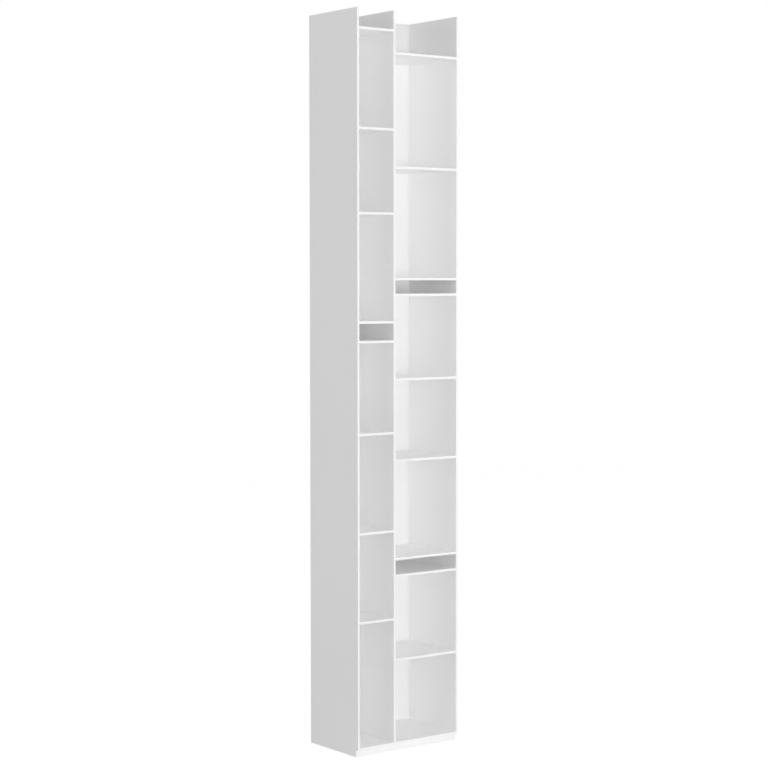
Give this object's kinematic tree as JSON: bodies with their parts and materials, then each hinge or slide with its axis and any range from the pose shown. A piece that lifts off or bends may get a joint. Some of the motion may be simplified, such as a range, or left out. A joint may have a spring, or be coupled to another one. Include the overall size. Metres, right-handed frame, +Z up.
{
  "type": "modular bookcase",
  "caption": "Tall open bookcase of thin white boards with a narrow and a wide column of unevenly spaced fixed shelves, a toe-notched plinth and levelling feet.",
  "frame": {"origin": "middle of the footprint on the floor, with the feet wound in", "axes": "+X to the right along the front, +Y from the front to the wall, +Z up"},
  "size_m": [0.37, 0.24, 2.16],
  "materials": {
    "lacquered_board": "matt white lacquer over fibreboard",
    "plated_steel": "bright zinc plating",
    "screw_steel": "zinc plated",
    "painted_bracket": "white powder coat on steel sheet",
    "bare_wood": "bare beech",
    "grey_plastic": "moulded grey nylon"
  },
  "bodies": {
    "case": {"left_side_panel": "lacquered_board", "right_side_panel": "lacquered_board", "divider_panel": "lacquered_board", "bottom_panel": "lacquered_board", "front_plinth": "lacquered_board", "rear_plinth": "lacquered_board", "narrow_back_panel": "lacquered_board", "wide_back_panel": "lacquered_board", "narrow_shelf_1": "lacquered_board", "narrow_shelf_2": "lacquered_board", "narrow_shelf_3": "lacquered_board", "narrow_shelf_4": "lacquered_board", "narrow_shelf_5": "lacquered_board", "narrow_shelf_6": "lacquered_board", "narrow_shelf_7": "lacquered_board", "narrow_shelf_8": "lacquered_board", "wide_shelf_1": "lacquered_board", "wide_shelf_2": "lacquered_board", "wide_shelf_3": "lacquered_board", "wide_shelf_4": "lacquered_board", "wide_shelf_5": "lacquered_board", "wide_shelf_6": "lacquered_board", "wide_shelf_7": "lacquered_board", "wide_shelf_8": "lacquered_board", "wide_shelf_9": "lacquered_board", "narrow_shelf_pins": "plated_steel", "wide_shelf_pins": "plated_steel", "base_pins": "plated_steel", "narrow_wall_bracket": "painted_bracket", "wide_wall_bracket": "painted_bracket", "bracket_screws": "screw_steel", "foot_blocks": "bare_wood", "foot_inserts": "plated_steel", "block_screws": "screw_steel"},
    "pad_front_left": {"foot_pad_front_left": "grey_plastic"},
    "stud_front_left": {"foot_stud_front_left": "plated_steel"},
    "pad_front_right": {"foot_pad_front_right": "grey_plastic"},
    "stud_front_right": {"foot_stud_front_right": "plated_steel"},
    "pad_rear_left": {"foot_pad_rear_left": "grey_plastic"},
    "stud_rear_left": {"foot_stud_rear_left": "plated_steel"},
    "pad_rear_right": {"foot_pad_rear_right": "grey_plastic"},
    "stud_rear_right": {"foot_stud_rear_right": "plated_steel"}
  },
  "joints": [
    {"name": "foot_height_front_left", "type": "slide", "parent": "case", "child": "pad_front_left", "axis": [0, 0, -1], "range_m": [0, 0.007]},
    {"name": "foot_turn_front_left", "type": "hinge", "parent": "pad_front_left", "child": "stud_front_left", "pos_m": [-0.158, -0.086, 0.01], "axis": [0, 0, -1], "range_deg": [0, 2016]},
    {"name": "foot_height_front_right", "type": "slide", "parent": "case", "child": "pad_front_right", "axis": [0, 0, -1], "range_m": [0, 0.007]},
    {"name": "foot_turn_front_right", "type": "hinge", "parent": "pad_front_right", "child": "stud_front_right", "pos_m": [0.158, -0.086, 0.01], "axis": [0, 0, -1], "range_deg": [0, 2016]},
    {"name": "foot_height_rear_left", "type": "slide", "parent": "case", "child": "pad_rear_left", "axis": [0, 0, -1], "range_m": [0, 0.007]},
    {"name": "foot_turn_rear_left", "type": "hinge", "parent": "pad_rear_left", "child": "stud_rear_left", "pos_m": [-0.158, 0.097, 0.01], "axis": [0, 0, -1], "range_deg": [0, 2016]},
    {"name": "foot_height_rear_right", "type": "slide", "parent": "case", "child": "pad_rear_right", "axis": [0, 0, -1], "range_m": [0, 0.007]},
    {"name": "foot_turn_rear_right", "type": "hinge", "parent": "pad_rear_right", "child": "stud_rear_right", "pos_m": [0.158, 0.097, 0.01], "axis": [0, 0, -1], "range_deg": [0, 2016]}
  ],
  "couplings": [
    {"joint": "foot_height_front_left", "follows": "foot_turn_front_left", "m_per_rad": 0.00019894},
    {"joint": "foot_height_front_right", "follows": "foot_turn_front_right", "m_per_rad": 0.00019894},
    {"joint": "foot_height_rear_left", "follows": "foot_turn_rear_left", "m_per_rad": 0.00019894},
    {"joint": "foot_height_rear_right", "follows": "foot_turn_rear_right", "m_per_rad": 0.00019894}
  ]
}
